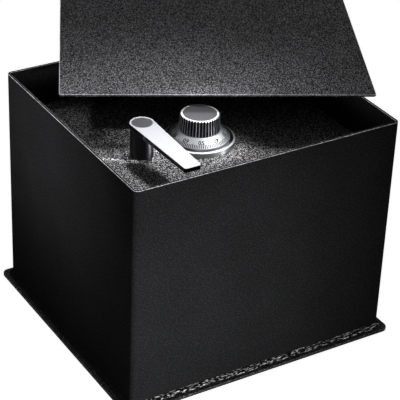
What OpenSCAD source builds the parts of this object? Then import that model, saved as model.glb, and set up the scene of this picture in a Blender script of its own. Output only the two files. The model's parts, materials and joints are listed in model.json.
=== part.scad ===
// In-floor safe with a hinged plate door, a combination dial and a lever handle.
// The front, where the user stands, is towards -Y. The underside of the base plate is at z = 0.
// Stored closed and unlocked: the locking bolts are drawn back and the loose cover lies on the rim.

/* [Body] */
// Outside width of the body, left to right
body_w = 350; // [330:1:420]
// Outside depth of the body, front to back
body_d = 320; // [310:1:380]
// Height of the rim above the underside of the base plate
body_h = 291; // [230:1:360]
// Thickness of the folded body walls
wall = 3; // [2:0.5:4]
// Outside radius of the four upright bends
bend_r = 6; // [5:0.5:10]

/* [Base] */
// How far the base plate stands out past the walls
flange = 10; // [7:0.5:20]
// Thickness of the base plate
base_t = 4; // [3:0.5:8]
// Radius of the corners of the base plate
base_r = 9; // [4:0.5:14]
// Radius of the weld bead round the foot of the body
weld_r = 4.5; // [3:0.5:6]
// Diameter of the anchor hole in the middle of the base
anchor_d = 14; // [10:1:20]

/* [Jamb] */
// Depth of the door's face below the rim
recess = 51.5; // [50:0.5:70]
// Width of the ledge that the door closes over
ledge_w = 20; // [18:0.5:24]
// Thickness of the ledge
ledge_t = 6; // [5:0.5:8]
// Height of the upright leg of the jamb angle
jamb_leg = 26; // [20:1:32]
// Thickness of the upright leg of the jamb angle
jamb_leg_t = 3; // [2:0.5:4]

/* [Door] */
// Thickness of the door plate
door_t = 12; // [10:0.5:14]
// Gap between the door and the walls
door_gap = 2; // [1.5:0.25:3]
// Gap between the underside of the door and the ledge
door_seat = 0.6; // [0.5:0.1:1]
// Bevel under the hinge edge of the door, which lets it roll over the ledge
door_bevel = 6; // [6:0.5:8]

/* [Hinges] */
// Distance of each hinge from the middle of the door
hinge_x = 48; // [40:1:130]
// Radius of the hinge knuckles
knuckle_r = 6.5; // [5:0.5:7]
// Length of one knuckle
knuckle_l = 14; // [10:1:24]
// Diameter of the hinge pins
pin_d = 6; // [4:0.5:7]
// Thickness of the hinge leaves
leaf_t = 3; // [2:0.5:3]
// Length of the leaf on the door
leaf_l = 16; // [10:1:40]
// Height of the leaf on the back wall above the hinge axis
leaf_h = 22; // [14:1:30]

/* [Dial] */
// Place of the dial across the door
dial_x = -6; // [-12:1:6]
// Place of the dial and of the lever along the door
lock_y = -12; // [-20:1:0]
// Outside radius of the fixed dial ring
ring_r = 43; // [40:0.5:46]
// Height of the outer edge of the dial ring
ring_h = 5.4; // [4:0.2:7]
// Width of the bevel on the dial ring
ring_bevel = 2.4; // [1.5:0.1:3.5]
// Depth of the groove between the bevel and the dial
ring_groove = 0.7; // [0.4:0.1:1.2]
// Radius of the turning dial
dial_r = 36.6; // [34:0.2:37]
// Height of the cone of the dial, from its edge to the foot of the knob
cone_h = 8.3; // [5:0.1:12]
// Radius of the knob at its foot
knob_r = 25; // [22:0.5:27]
// Radius of the knob at its top
knob_top_r = 23.4; // [20:0.2:25]
// Height of the knob
knob_h = 20; // [14:0.5:22]
// Number of flutes round the knob
flutes = 40; // [24:1:48]
// Radius of each flute
flute_r = 1.5; // [1:0.1:1.8]
// Radius of the inset disc on the knob
knob_disc_r = 20.3; // [16:0.1:20.5]
// Diameter of the dial spindle
spindle_d = 8; // [6:0.5:9]

/* [Lever] */
// Distance of the lever from the dial, towards the left
lever_off = 78; // [74:1:84]
// Radius of the round post
post_r = 14.1; // [12:0.1:15]
// Height of the top of the arm above the door
lever_h = 43; // [40:0.5:46]
// Thickness of the arm
arm_t = 6; // [4:0.5:6]
// Length of the arm from the centre of the post
arm_l = 116; // [90:1:124]
// Radius of the round end of the arm
arm_r = 14.8; // [13:0.1:16]
// Width of the arm at its free end
arm_end_w = 21.5; // [16:0.5:28]
// Corner radius at the free end of the arm
arm_corner_r = 3; // [1:0.5:6]
// Radius of the inset disc on the arm
lever_disc_r = 12.2; // [9:0.1:12.5]
// Diameter of the lever shaft
shaft_d = 12; // [10:0.5:14]
// Wall of the flanged bush that carries the shaft in the door
bush_wall = 2.5; // [2:0.25:3]
// Angle that the lever turns to throw the bolts
lever_angle = 50; // [40:1:52]

/* [Bolt work] */
// Diameter of the locking bolts
bolt_d = 20; // [16:0.5:20]
// Travel of the locking bolts
throw = 16; // [12:0.5:18]
// Distance of the outer bolts from the middle one
bolt_pitch = 100; // [86:1:112]
// Gap between the bolts and the ledge above them
bolt_under = 1.5; // [1:0.25:2.5]
// Thickness of the carrier plate
carrier_t = 5; // [4:0.5:6]
// Width of the carrier plate and its arms
carrier_w = 20; // [18:1:24]
// Diameter of the threaded shank of each bolt
shank_d = 12; // [10:0.5:12]
// Thickness of the bolt guide
guide_t = 6; // [5:0.5:6]
// Diameter of the shoulder of each carrier post
shoulder_d = 8; // [6:0.5:10]
// Diameter of the crank pin
crank_pin_d = 8; // [6:0.5:8]
// Thickness of the crank
crank_t = 5; // [4:0.5:5]
// Thickness of the dead bar on the hinge side
dead_bar_t = 8; // [6:0.5:10]
// How far the dead bar reaches under the ledge
dead_reach = 13; // [8:0.5:13]

/* [Combination lock] */
// Length of the lock case
case_l = 82; // [78:1:84]
// Width of the lock case
case_w = 60; // [58:1:64]
// Height of the lock case with its cover
case_h = 27; // [26:0.5:30]
// Distance from the spindle to the end of the case that the lock bolt leaves
case_front = 48; // [44:1:50]
// Wall of the lock case
case_wall = 3; // [2.5:0.25:3.5]
// Thickness of the cover of the lock case
case_cover_t = 2; // [1.5:0.25:2.5]
// Radius of the combination wheels
wheel_r = 19; // [17:0.25:19.5]
// Thickness of each combination wheel
wheel_t = 2.4; // [2:0.1:2.4]
// Width of the lock bolt
lock_bolt_w = 9.4; // [8:0.1:9.6]
// Height of the lock bolt
lock_bolt_h = 9; // [7:0.5:10]
// Travel of the lock bolt
lock_throw = 12; // [9:0.5:12]
// Thickness of the hard plate between the door and the lock
hard_t = 6; // [4:0.5:6]

/* [Cover plate] */
// How far the cover is wider than the body, on each side
cover_lap = 13; // [8:0.5:16]
// Thickness of the cover
cover_t = 3; // [2:0.5:5]
// Radius of the corners of the cover
cover_r = 4; // [2:0.5:10]
// Angle that the cover is turned, seen from above
cover_turn = -27; // [-30:0.5:-20]
// How far the middle of the cover lies to the right
cover_right = 98.5; // [90:0.5:110]
// How far the middle of the cover lies to the back
cover_back = 143; // [120:0.5:145]

/* [Clearances] */
// Radial clearance of shafts, pins and bolts that turn or slide in a bore
run_fit = 0.08; // [0.04:0.01:0.1]
// Side clearance between flat pieces that pass each other
side_gap = 0.4; // [0.3:0.05:0.6]

/* [Hidden] */
$fn = 64;
eps = 0.01;

// Cuts run past a face by this much, so that they leave no skin
past = 1;

// Body and jamb
in_w = body_w - 2 * wall;
in_d = body_d - 2 * wall;
in_r = bend_r - wall;
door_top = body_h - recess;
door_bot = door_top - door_t;
ledge_top = door_bot - door_seat;
ledge_bot = ledge_top - ledge_t;
ledge_y = in_d / 2 - ledge_w;
jamb_open_r = 8;

// Hinge axis, above the door face and in front of the back wall
hinge_lift = 0.5;
leaf_gap = 1;
hinge_y = in_d / 2 - leaf_t - leaf_gap - knuckle_r;
hinge_z = door_top + knuckle_r + hinge_lift;
pin_head_over = 1.5;
pin_head_r = pin_d / 2 + pin_head_over;
pin_head_t = 2;
hinge_half = 1.5 * knuckle_l + side_gap;
door_leaf_y = hinge_y - knuckle_r - leaf_gap;

// Dial
dial_edge_t = 1.4;
dial_edge_z = 7;
dial_cone_z = dial_edge_z + dial_edge_t;
knob_z = dial_cone_z + cone_h;
knob_top = knob_z + knob_h;
ring_bevel_h = 0.9;
ring_top = ring_h + ring_bevel_h;
ring_draft = 0.5;
ring_groove_side = 0.3;
ring_floor_t = 2;
dial_under = 3;
knob_seat = 0.6;
knob_rim = 1;
turn_fn = 96;
ring_lip_in = dial_r + side_gap;
disc_deep = 1.2;
disc_sink = 0.3;
spindle_gap = 1;
spindle_hole_r = spindle_d / 2 + spindle_gap;

// Lever
lever_x = dial_x - lever_off;
post_foot = 1.2;
washer_t = post_foot - side_gap;
washer_in = 0.6;
arm_shoulder = 0.2;
bush_r = shaft_d / 2 + run_fit + bush_wall;
bush_flange_t = 1.5;
bush_flange_w = 2;

// Bolts and their guide, measured back from the inner edge of the front ledge
bolt_r = bolt_d / 2;
bolt_z = ledge_bot - bolt_under - bolt_r;
tip_setback = 5.5;
bolt_tip_y = -ledge_y + tip_setback;
tip_reach = 5.5;
guide_front_y = bolt_tip_y + tip_reach;
guide_back_y = guide_front_y + guide_t;
guide_leg_t = 5;
guide_leg_d = 20;
guide_fillet = 3;
guide_side = 20;
guide_half = bolt_pitch + bolt_r + guide_side;
guide_below = 3;
guide_bot = bolt_z - bolt_r - guide_below;
bolt_tip_bevel = 2;
screw_head_h = 2.2;
screw_head_r = 4.5;
screw_r = 2.5;
guide_screw_in = 9;
guide_screw_x = [guide_screw_in - guide_half, -bolt_pitch / 2, bolt_pitch / 2, guide_half - guide_screw_in];
guide_screw_y = guide_back_y + guide_leg_d / 2;

// Carrier: an angle across the front, with a crank arm and a lock arm welded on behind
carrier_top = bolt_z + carrier_t / 2;
carrier_bot = bolt_z - carrier_t / 2;
carrier_clear = 1;
flange_y = guide_back_y + throw + carrier_clear;
flange_back_y = flange_y + carrier_t;
beam_back_y = flange_back_y + carrier_w;
carrier_side = 4;
carrier_half = bolt_pitch + bolt_r + carrier_side;
nut_t = 6;
nut_r = 10;
nut_room = 2;
shank_end = 2;
post_back = 47;
post_y = lock_y + post_back;
post_collar_w = 3;
post_head_w = 4;
post_head_t = 3;
slot_clear = 0.3;
arm_end = 7;
arm_plate_r = 3;
arm_back_y = post_y + throw + shoulder_d / 2 + arm_end;

// Crank: its pin swings evenly either side of square to the bolts
crank_r = throw / (2 * sin(lever_angle / 2));
crank_start = 180 - lever_angle / 2;
crank_gap = 0.6;
crank_bot = carrier_top + crank_gap;
crank_top = crank_bot + crank_t;
crank_hub_wall = 5;
crank_eye_wall = 3.5;
crank_hub_r = shaft_d / 2 + crank_hub_wall;
crank_eye_r = crank_pin_d / 2 + crank_eye_wall;
crank_pin_past = 1;
crank_screw_over = 1;
crank_pin_x = lever_x + crank_r * cos(crank_start);
crank_pin_y = lock_y + crank_r * sin(crank_start);
crank_swing = crank_r * (1 - cos(lever_angle / 2));
crank_arm_x = crank_pin_x - crank_swing / 2;
crank_slot_clear = 0.35;

// Combination lock, under the hard plate
lock_top = door_bot - hard_t;
lock_bot = lock_top - case_h;
case_x = dial_x + case_front - case_l;
case_end_x = dial_x + case_front;
case_mid_x = case_end_x - case_l / 2;
case_roof = 4;
case_corner_r = 4;
case_screw_in = 6;
case_boss_r = 4.5;
lock_bolt_clear = 0.15;
case_cavity_top = lock_top - case_roof;
case_cavity_bot = lock_bot + case_cover_t;
lock_bolt_out = 4;
wheel_clear = 2;
lock_bolt_tail = dial_x + wheel_r + wheel_clear;
lock_bolt_tip = case_end_x + lock_bolt_out;
tube_r = 7;
wheel_gap = 0.8;
gate_w = 4;
gate_deep = 4.5;
cam_t = 4;
cam_gap = 1;
wheels = 3;
wheel_gates = [200, 310, 40];
cam_gate = 90;
fence_strip_t = 3;
fence_h = 6;
fence_neck = 4;
fence_gap = 1.2;
fence_short = 5;
fence_y = lock_y + wheel_r + fence_gap;
tube_bot = case_cavity_top - (wheels + 1) * wheel_gap - wheels * wheel_t;
cam_top = tube_bot - cam_gap;
cam_bot = cam_top - cam_t;
lock_arm_gap = 2;
lock_arm_x = lock_bolt_tip + lock_arm_gap;
notch_end = 0.5;
notch_deep = lock_throw + notch_end;
notch_clear = 0.3;
lock_arm_back = 10;
lock_arm_w = notch_deep + lock_arm_back;
lock_post_x = lock_arm_x + lock_arm_w / 2;
hard_side = 6;
hard_end = 1;

// Dead bar: its top swings just under the lower edge of the back ledge
dead_clear = 0.7;
dead_behind = 13;
dead_tip_bevel = 1.5;
dead_y0 = ledge_y - dead_behind;
dead_top = hinge_z - sqrt(pow(hinge_y - ledge_y, 2) + pow(hinge_z - ledge_bot, 2)) - dead_clear;
dead_half = 125;
block_x = 92;
block_w = 30;
block_setback = 1.5;
block_back_y = ledge_y - block_setback;
block_mid_y = (dead_y0 + block_back_y) / 2;

// Cover plate
cover_w = body_w + 2 * cover_lap;
cover_d = body_d + 2 * cover_lap;

// Flat shape of a plate with four round corners, centred
module rounded_rect(w, d, r) {
    square([w - 2 * r, d], center = true);
    square([w, d - 2 * r], center = true);
    for (sx = [-1, 1], sy = [-1, 1])
        translate([sx * (w / 2 - r), sy * (d / 2 - r)])
            circle(r = r);
}

// Straight bar with flat ends between two heights
module bar(x0, x1, y0, y1, z0, z1) {
    translate([x0, y0, z0])
        cube([x1 - x0, y1 - y0, z1 - z0]);
}

// Upright round piece between two heights
module rod(x, y, z0, z1, r) {
    translate([x, y, z0])
        cylinder(r = r, h = z1 - z0);
}

// Round piece that lies across the door
module rod_x(x0, x1, y, z, r) {
    translate([x0, y, z])
        rotate([0, 90, 0])
            cylinder(r = r, h = x1 - x0);
}

// Round piece that lies front to back
module rod_y(x, y0, y1, z, r) {
    translate([x, y1, z])
        rotate([90, 0, 0])
            cylinder(r = r, h = y1 - y0);
}

// Section in the front-to-back plane, drawn as [y, z] points and extruded across the door
module across(x0, x1) {
    translate([x0, 0, 0])
        rotate([90, 0, 90])
            linear_extrude(x1 - x0)
                children();
}

// Flat slot with round ends, from one centre to the other
module slot_cut(x0, x1, y0, y1, z0, z1, r) {
    rod(x0, y0, z0, z1, r);
    rod(x1, y1, z0, z1, r);
    if (x1 > x0)
        bar(x0, x1, y0 - r, y0 + r, z0, z1);
    if (y1 > y0)
        bar(x0 - r, x0 + r, y0, y1, z0, z1);
}

// Four walls folded from one sheet, open at the top
module body_shell() {
    color("#2b2b2d")
        difference() {
            translate([0, 0, base_t])
                linear_extrude(body_h - base_t)
                    rounded_rect(body_w, body_d, bend_r);
            translate([0, 0, base_t - past])
                linear_extrude(body_h)
                    rounded_rect(in_w, in_d, in_r);
        }
}

// Floor plate that stands out as a flange, with one anchor hole
module base_plate() {
    color("#2b2b2d")
        difference() {
            linear_extrude(base_t)
                rounded_rect(body_w + 2 * flange, body_d + 2 * flange, base_r);
            rod(0, 0, -past, base_t + past, anchor_d / 2);
        }
}

// Quarter of a round, the section of the weld bead
module bead_section() {
    intersection() {
        circle(r = weld_r);
        square(weld_r);
    }
}

// Bead along the foot of one wall, and round the bend at its right end
module bead_side(length, reach) {
    translate([-length / 2, -reach, 0])
        rotate([90, 0, 90])
            linear_extrude(length)
                mirror([1, 0])
                    bead_section();
    translate([length / 2, -reach + bend_r, 0])
        rotate([0, 0, -90])
            rotate_extrude(angle = 90)
                translate([bend_r, 0])
                    bead_section();
}

module weld_bead() {
    color("#38383a")
        translate([0, 0, base_t])
            for (turn = [0, 180]) {
                rotate([0, 0, turn])
                    bead_side(body_w - 2 * bend_r, body_d / 2);
                rotate([0, 0, turn + 90])
                    bead_side(body_d - 2 * bend_r, body_w / 2);
            }
}

// Angle welded round the inside, whose ledge carries the door's edge
module door_jamb() {
    color("#1f1f21")
        difference() {
            translate([0, 0, ledge_top - jamb_leg])
                linear_extrude(jamb_leg)
                    rounded_rect(in_w, in_d, in_r);
            translate([0, 0, ledge_top - jamb_leg - past])
                linear_extrude(jamb_leg - ledge_t + past)
                    square([in_w - 2 * jamb_leg_t, in_d - 2 * jamb_leg_t], center = true);
            translate([0, 0, ledge_top - jamb_leg])
                linear_extrude(jamb_leg + past)
                    rounded_rect(in_w - 2 * ledge_w, in_d - 2 * ledge_w, jamb_open_r);
        }
}

// Two knuckles and their leaf on the back wall
module wall_leaf(x) {
    difference() {
        union() {
            for (side = [-1, 1])
                translate([x + side * (knuckle_l + side_gap), 0, 0]) {
                    rod_x(-knuckle_l / 2, knuckle_l / 2, hinge_y, hinge_z, knuckle_r);
                    bar(-knuckle_l / 2, knuckle_l / 2, hinge_y, in_d / 2, hinge_z, hinge_z + knuckle_r);
                }
            bar(x - hinge_half, x + hinge_half, in_d / 2 - leaf_t, in_d / 2, hinge_z, hinge_z + leaf_h);
        }
        rod_x(x - hinge_half - past, x + hinge_half + past, hinge_y, hinge_z, pin_d / 2 + run_fit);
    }
}

module wall_hinge_leaves() {
    color("#1f1f21")
        for (side = [-1, 1])
            wall_leaf(side * hinge_x);
}

// Headed pins that carry the door
module hinge_pins() {
    color("#8d9094")
        for (side = [-1, 1])
            translate([side * hinge_x, 0, 0]) {
                rod_x(-hinge_half, hinge_half, hinge_y, hinge_z, pin_d / 2);
                rod_x(hinge_half + side_gap / 2, hinge_half + side_gap / 2 + pin_head_t,
                    hinge_y, hinge_z, pin_head_r);
                rod_x(hinge_half - eps, hinge_half + side_gap / 2 + eps, hinge_y, hinge_z, pin_d / 2);
            }
}

// Plate door, bevelled under its hinge edge, with bores for the spindle and the bush
module door_plate() {
    half_w = in_w / 2 - door_gap;
    half_d = in_d / 2 - door_gap;
    color("#242426")
        difference() {
            across(-half_w, half_w)
                polygon([
                    [-half_d, door_bot],
                    [half_d - door_bevel, door_bot],
                    [half_d, door_bot + door_bevel],
                    [half_d, door_top],
                    [-half_d, door_top]
                ]);
            rod(dial_x, lock_y, door_bot - past, door_top + past, spindle_hole_r);
            rod(lever_x, lock_y, door_bot - past, door_top + past, bush_r);
        }
}

// Middle knuckle of each hinge, with its leaf on the face of the door
module door_hinge_leaves() {
    color("#1f1f21")
        for (side = [-1, 1])
            translate([side * hinge_x, 0, 0])
                difference() {
                    union() {
                        rod_x(-knuckle_l / 2, knuckle_l / 2, hinge_y, hinge_z, knuckle_r);
                        bar(-knuckle_l / 2, knuckle_l / 2, hinge_y - knuckle_r, hinge_y, door_top, hinge_z);
                        bar(-hinge_half, hinge_half, door_leaf_y - leaf_l, door_leaf_y,
                            door_top, door_top + leaf_t);
                        bar(-knuckle_l / 2, knuckle_l / 2, door_leaf_y - leaf_t, hinge_y,
                            door_top, door_top + leaf_t);
                    }
                    rod_x(-knuckle_l, knuckle_l, hinge_y, hinge_z, pin_d / 2 + run_fit);
                }
}

// Fixed ring round the dial: a shallow bevel outside, then a groove round the dial's edge
module dial_ring() {
    in_top = ring_r - ring_bevel;
    groove_z = ring_top - ring_groove;
    color("#c9cbce")
        translate([dial_x, lock_y, door_top])
            rotate_extrude($fn = turn_fn)
                polygon([
                    [spindle_hole_r, 0],
                    [ring_r + ring_draft, 0],
                    [ring_r, ring_h],
                    [in_top, ring_top],
                    [in_top - ring_groove_side, groove_z],
                    [ring_lip_in, groove_z],
                    [ring_lip_in, ring_floor_t],
                    [spindle_hole_r, ring_floor_t]
                ]);
}

// Bush pressed in the door, in which the lever shaft turns
module lever_bush() {
    color("#b08d4a")
        difference() {
            union() {
                rod(lever_x, lock_y, door_bot, door_top, bush_r);
                rod(lever_x, lock_y, door_bot - bush_flange_t, door_bot, bush_r + bush_flange_w);
            }
            rod(lever_x, lock_y, door_bot - bush_flange_t - past, door_top + past, shaft_d / 2 + run_fit);
        }
}

// Hardened plate between the door and the lock
module hard_plate() {
    color("#5b5f66")
        difference() {
            bar(case_x - hard_side, case_end_x + hard_end, lock_y - case_w / 2 - hard_side,
                lock_y + case_w / 2 + hard_side, lock_top, door_bot);
            rod(dial_x, lock_y, lock_top - past, door_bot + past, spindle_hole_r);
        }
}

// Angle under the door with a bore for each locking bolt
module bolt_guide() {
    color("#7f8388")
        difference() {
            across(-guide_half, guide_half)
                polygon([
                    [guide_front_y, guide_bot],
                    [guide_back_y, guide_bot],
                    [guide_back_y, door_bot - guide_leg_t - guide_fillet],
                    [guide_back_y + guide_fillet, door_bot - guide_leg_t],
                    [guide_back_y + guide_leg_d, door_bot - guide_leg_t],
                    [guide_back_y + guide_leg_d, door_bot],
                    [guide_front_y, door_bot]
                ]);
            for (i = [-1:1])
                rod_y(i * bolt_pitch, guide_front_y - past, guide_back_y + guide_fillet + past,
                    bolt_z, bolt_r + run_fit);
            for (x = guide_screw_x)
                rod(x, guide_screw_y, door_bot - guide_leg_t - past, door_bot + past, screw_r);
        }
}

// Round-headed screw under the door, from the given face up
module door_screw(x, y, face_z, grip) {
    rod(x, y, face_z - screw_head_h, face_z, screw_head_r);
    rod(x, y, face_z - eps, face_z + grip, screw_r);
}

module guide_screws() {
    color("#9a9da1")
        for (x = guide_screw_x)
            door_screw(x, guide_screw_y, door_bot - guide_leg_t, guide_leg_t);
}

// Shouldered posts that hold the two arms of the carrier up to the door
module carrier_posts() {
    color("#9a9da1")
        for (x = [crank_arm_x, lock_post_x]) {
            rod(x, post_y, carrier_top + side_gap, door_bot, shoulder_d / 2 + post_collar_w);
            rod(x, post_y, carrier_bot - side_gap, carrier_top + side_gap, shoulder_d / 2);
            rod(x, post_y, carrier_bot - side_gap - post_head_t, carrier_bot - side_gap,
                shoulder_d / 2 + post_head_w);
        }
}

// Fixed bar that hooks under the back ledge when the door is shut
module dead_bar() {
    color("#7f8388")
        difference() {
            across(-dead_half, dead_half)
                polygon([
                    [dead_y0, dead_top - dead_bar_t],
                    [ledge_y + dead_reach - dead_tip_bevel, dead_top - dead_bar_t],
                    [ledge_y + dead_reach, dead_top - dead_bar_t + dead_tip_bevel],
                    [ledge_y + dead_reach, dead_top - dead_tip_bevel],
                    [ledge_y + dead_reach - dead_tip_bevel, dead_top],
                    [dead_y0, dead_top]
                ]);
            for (side = [-1, 1])
                rod(side * block_x, block_mid_y, dead_top - dead_bar_t - past, dead_top + past, screw_r);
        }
}

module dead_bar_blocks() {
    color("#7f8388")
        for (side = [-1, 1])
            difference() {
                bar(side * block_x - block_w / 2, side * block_x + block_w / 2,
                    dead_y0, block_back_y, dead_top, door_bot);
                rod(side * block_x, block_mid_y, dead_top - past, door_bot + past, screw_r);
            }
}

module dead_bar_screws() {
    color("#9a9da1")
        for (side = [-1, 1])
            door_screw(side * block_x, block_mid_y, dead_top - dead_bar_t,
                dead_bar_t + door_bot - dead_top);
}

// Corners of the lock case where its screws pass
module at_case_corners() {
    reach_x = case_l / 2 - case_screw_in;
    reach_y = case_w / 2 - case_screw_in;
    for (sx = [-1, 1], sy = [-1, 1])
        translate([case_mid_x + sx * reach_x, lock_y + sy * reach_y, 0])
            children();
}

// Block with the outline of the lock case, less the given margin all round
module case_block(margin, z0, z1) {
    translate([case_mid_x, lock_y, z0])
        linear_extrude(z1 - z0)
            rounded_rect(case_l - 2 * margin, case_w - 2 * margin, case_corner_r - margin);
}

// Cast case of the combination lock, hollow, with the tube that the wheels turn on
module lock_case() {
    color("#b9bcc0")
        difference() {
            union() {
                difference() {
                    case_block(0, case_cavity_bot, lock_top);
                    case_block(case_wall, case_cavity_bot - past, case_cavity_top);
                }
                at_case_corners()
                    rod(0, 0, case_cavity_bot, case_cavity_top + eps, case_boss_r);
                rod(dial_x, lock_y, tube_bot, case_cavity_top + eps, tube_r);
            }
            rod(dial_x, lock_y, tube_bot - past, lock_top + past, spindle_d / 2 + run_fit);
            at_case_corners()
                rod(0, 0, case_cavity_bot - past, lock_top + past, screw_r);
            bar(case_end_x - case_wall - past, case_end_x + past,
                lock_y - lock_bolt_w / 2 - lock_bolt_clear, lock_y + lock_bolt_w / 2 + lock_bolt_clear,
                bolt_z - lock_bolt_h / 2 - lock_bolt_clear, bolt_z + lock_bolt_h / 2 + lock_bolt_clear);
        }
}

module lock_cover() {
    color("#a3a6ab")
        difference() {
            case_block(0, lock_bot, case_cavity_bot);
            at_case_corners()
                rod(0, 0, lock_bot - past, case_cavity_bot + past, screw_r);
        }
}

module lock_screws() {
    color("#9a9da1")
        at_case_corners()
            door_screw(0, 0, lock_bot, case_h);
}

// Turning dial: thin edge, cone for the numbers and a flat seat for the knob
module dial() {
    color("#d5d7da")
        translate([dial_x, lock_y, door_top])
            rotate_extrude($fn = turn_fn)
                polygon([
                    [spindle_d / 2, ring_floor_t + side_gap],
                    [dial_r - dial_under, ring_floor_t + side_gap],
                    [dial_r, dial_edge_z],
                    [dial_r, dial_cone_z],
                    [knob_r + knob_seat, knob_z],
                    [spindle_d / 2, knob_z]
                ]);
}

// Knob that tapers to its top, with flutes round the side and a seat for the disc
module dial_knob() {
    lean = atan((knob_r - knob_top_r) / knob_h);
    flute_out = flute_r / 3;
    color("#8b8d91")
        translate([dial_x, lock_y, door_top + knob_z])
            difference() {
                rotate_extrude($fn = turn_fn)
                    polygon([
                        [0, 0],
                        [knob_r, 0],
                        [knob_top_r, knob_h - knob_rim],
                        [knob_top_r - knob_rim, knob_h],
                        [knob_disc_r, knob_h],
                        [knob_disc_r, knob_h - disc_deep],
                        [0, knob_h - disc_deep]
                    ]);
                for (i = [0:flutes - 1])
                    rotate([0, 0, i * 360 / flutes])
                        translate([knob_r + flute_out, 0, -past])
                            rotate([0, -lean, 0])
                                cylinder(r = flute_r, h = knob_h * 2, $fn = 24);
            }
}

module dial_disc() {
    color("#77797e")
        rod(dial_x, lock_y, door_top + knob_top - disc_deep, door_top + knob_top - disc_sink, knob_disc_r);
}

// Spindle from the knob through the door to the drive cam
module spindle() {
    color("#9a9da1")
        rod(dial_x, lock_y, cam_bot, door_top + knob_z, spindle_d / 2);
}

// Round plate with a gate in its edge, about the spindle
module gated_wheel(z0, z1, bore_r, gate_angle) {
    translate([dial_x, lock_y, 0])
        difference() {
            rod(0, 0, z0, z1, wheel_r);
            rod(0, 0, z0 - past, z1 + past, bore_r);
            rotate([0, 0, gate_angle])
                bar(wheel_r - gate_deep, wheel_r + past, -gate_w / 2, gate_w / 2, z0 - past, z1 + past);
        }
}

module drive_cam() {
    color("#c2a14f")
        gated_wheel(cam_bot, cam_top, spindle_d / 2, cam_gate);
}

// Combination wheel, counted down from the roof of the case
module wheel(i) {
    top = case_cavity_top - i * wheel_gap - (i - 1) * wheel_t;
    color("#c2a14f")
        gated_wheel(top - wheel_t, top, tube_r + run_fit, wheel_gates[i - 1]);
}

module wheel_1() {
    wheel(1);
}

module wheel_2() {
    wheel(2);
}

module wheel_3() {
    wheel(3);
}

// Bolt of the combination lock, drawn in
module lock_bolt() {
    color("#c2a14f")
        bar(lock_bolt_tail, lock_bolt_tip, lock_y - lock_bolt_w / 2, lock_y + lock_bolt_w / 2,
            bolt_z - lock_bolt_h / 2, bolt_z + lock_bolt_h / 2);
}

// Lever with its fence, carried by the lock bolt beside the wheels, bent from one strip
module fence_lever() {
    back_y = fence_y + fence_strip_t;
    color("#c2a14f")
        translate([0, 0, bolt_z - fence_h / 2])
            linear_extrude(fence_h)
                polygon([
                    [lock_bolt_tail, lock_y + lock_bolt_w / 2],
                    [lock_bolt_tail + fence_neck, lock_y + lock_bolt_w / 2],
                    [lock_bolt_tail + fence_neck, back_y],
                    [dial_x - wheel_r + fence_short, back_y],
                    [dial_x - wheel_r + fence_short, fence_y],
                    [lock_bolt_tail, fence_y]
                ]);
}

// Outline of the arm from the post to its free end, which is narrower and square
module arm_outline() {
    half = arm_end_w / 2 - arm_corner_r;
    shoulder = arm_r - arm_shoulder;
    corner = [for (a = [0:15:90]) [cos(a), -sin(a)] * arm_corner_r];
    polygon(concat(
        [[-shoulder, past], [shoulder, past]],
        [for (p = corner) [half + p.x, p.y - arm_l + arm_corner_r]],
        [for (i = [len(corner) - 1:-1:0]) [-half - corner[i].x, corner[i].y - arm_l + arm_corner_r]]
    ));
}

module lever_arm() {
    color("#e4e5e7")
        translate([lever_x, lock_y, door_top + lever_h - arm_t])
            difference() {
                union() {
                    linear_extrude(arm_t)
                        arm_outline();
                    rod(0, 0, 0, arm_t, arm_r);
                }
                rod(0, 0, arm_t - disc_deep, arm_t + past, lever_disc_r);
            }
}

module lever_post() {
    color("#8b8d91")
        rod(lever_x, lock_y, door_top + post_foot, door_top + lever_h - arm_t, post_r);
}

module lever_disc() {
    color("#77797e")
        rod(lever_x, lock_y, door_top + lever_h - disc_deep, door_top + lever_h - disc_sink, lever_disc_r);
}

// Thin washer under the post
module lever_washer() {
    color("#1f1f21")
        difference() {
            rod(lever_x, lock_y, door_top + side_gap, door_top + side_gap + washer_t, post_r - washer_in);
            rod(lever_x, lock_y, door_top, door_top + post_foot + past, shaft_d / 2);
        }
}

module lever_shaft() {
    color("#9a9da1")
        rod(lever_x, lock_y, crank_bot, door_top + post_foot, shaft_d / 2);
}

// Crank on the foot of the shaft, with its pin hanging into the carrier's slot
module lever_crank() {
    color("#6d7076") {
        difference() {
            union() {
                rod(lever_x, lock_y, crank_bot, crank_top, crank_hub_r);
                translate([lever_x, lock_y, crank_bot])
                    rotate([0, 0, crank_start])
                        translate([0, -crank_eye_r, 0])
                            cube([crank_r, 2 * crank_eye_r, crank_t]);
                rod(crank_pin_x, crank_pin_y, crank_bot, crank_top, crank_eye_r);
            }
            rod(lever_x, lock_y, crank_bot - past, crank_top + past, shaft_d / 2);
        }
        rod(crank_pin_x, crank_pin_y, carrier_bot - crank_pin_past, crank_bot + eps, crank_pin_d / 2);
    }
}

module crank_screw() {
    color("#9a9da1")
        rod(lever_x, lock_y, crank_bot - screw_head_h, crank_bot, shaft_d / 2 + crank_screw_over);
}

// Carrier rolled as an angle: an upright flange for the bolts and a flat beam behind it
module bolt_carrier() {
    color("#878b90")
        difference() {
            across(-carrier_half, carrier_half)
                polygon([
                    [flange_y, bolt_z - bolt_r],
                    [flange_back_y, bolt_z - bolt_r],
                    [flange_back_y, carrier_bot],
                    [beam_back_y, carrier_bot],
                    [beam_back_y, carrier_top],
                    [flange_back_y, carrier_top],
                    [flange_back_y, bolt_z + bolt_r],
                    [flange_y, bolt_z + bolt_r]
                ]);
            for (i = [-1:1]) {
                rod_y(i * bolt_pitch, flange_y - past, flange_back_y + past, bolt_z, shank_d / 2);
                bar(i * bolt_pitch - nut_r - nut_room, i * bolt_pitch + nut_r + nut_room, flange_back_y,
                    flange_back_y + nut_t + shank_end + nut_room / 2, carrier_bot - past, carrier_top + past);
            }
        }
}

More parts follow.
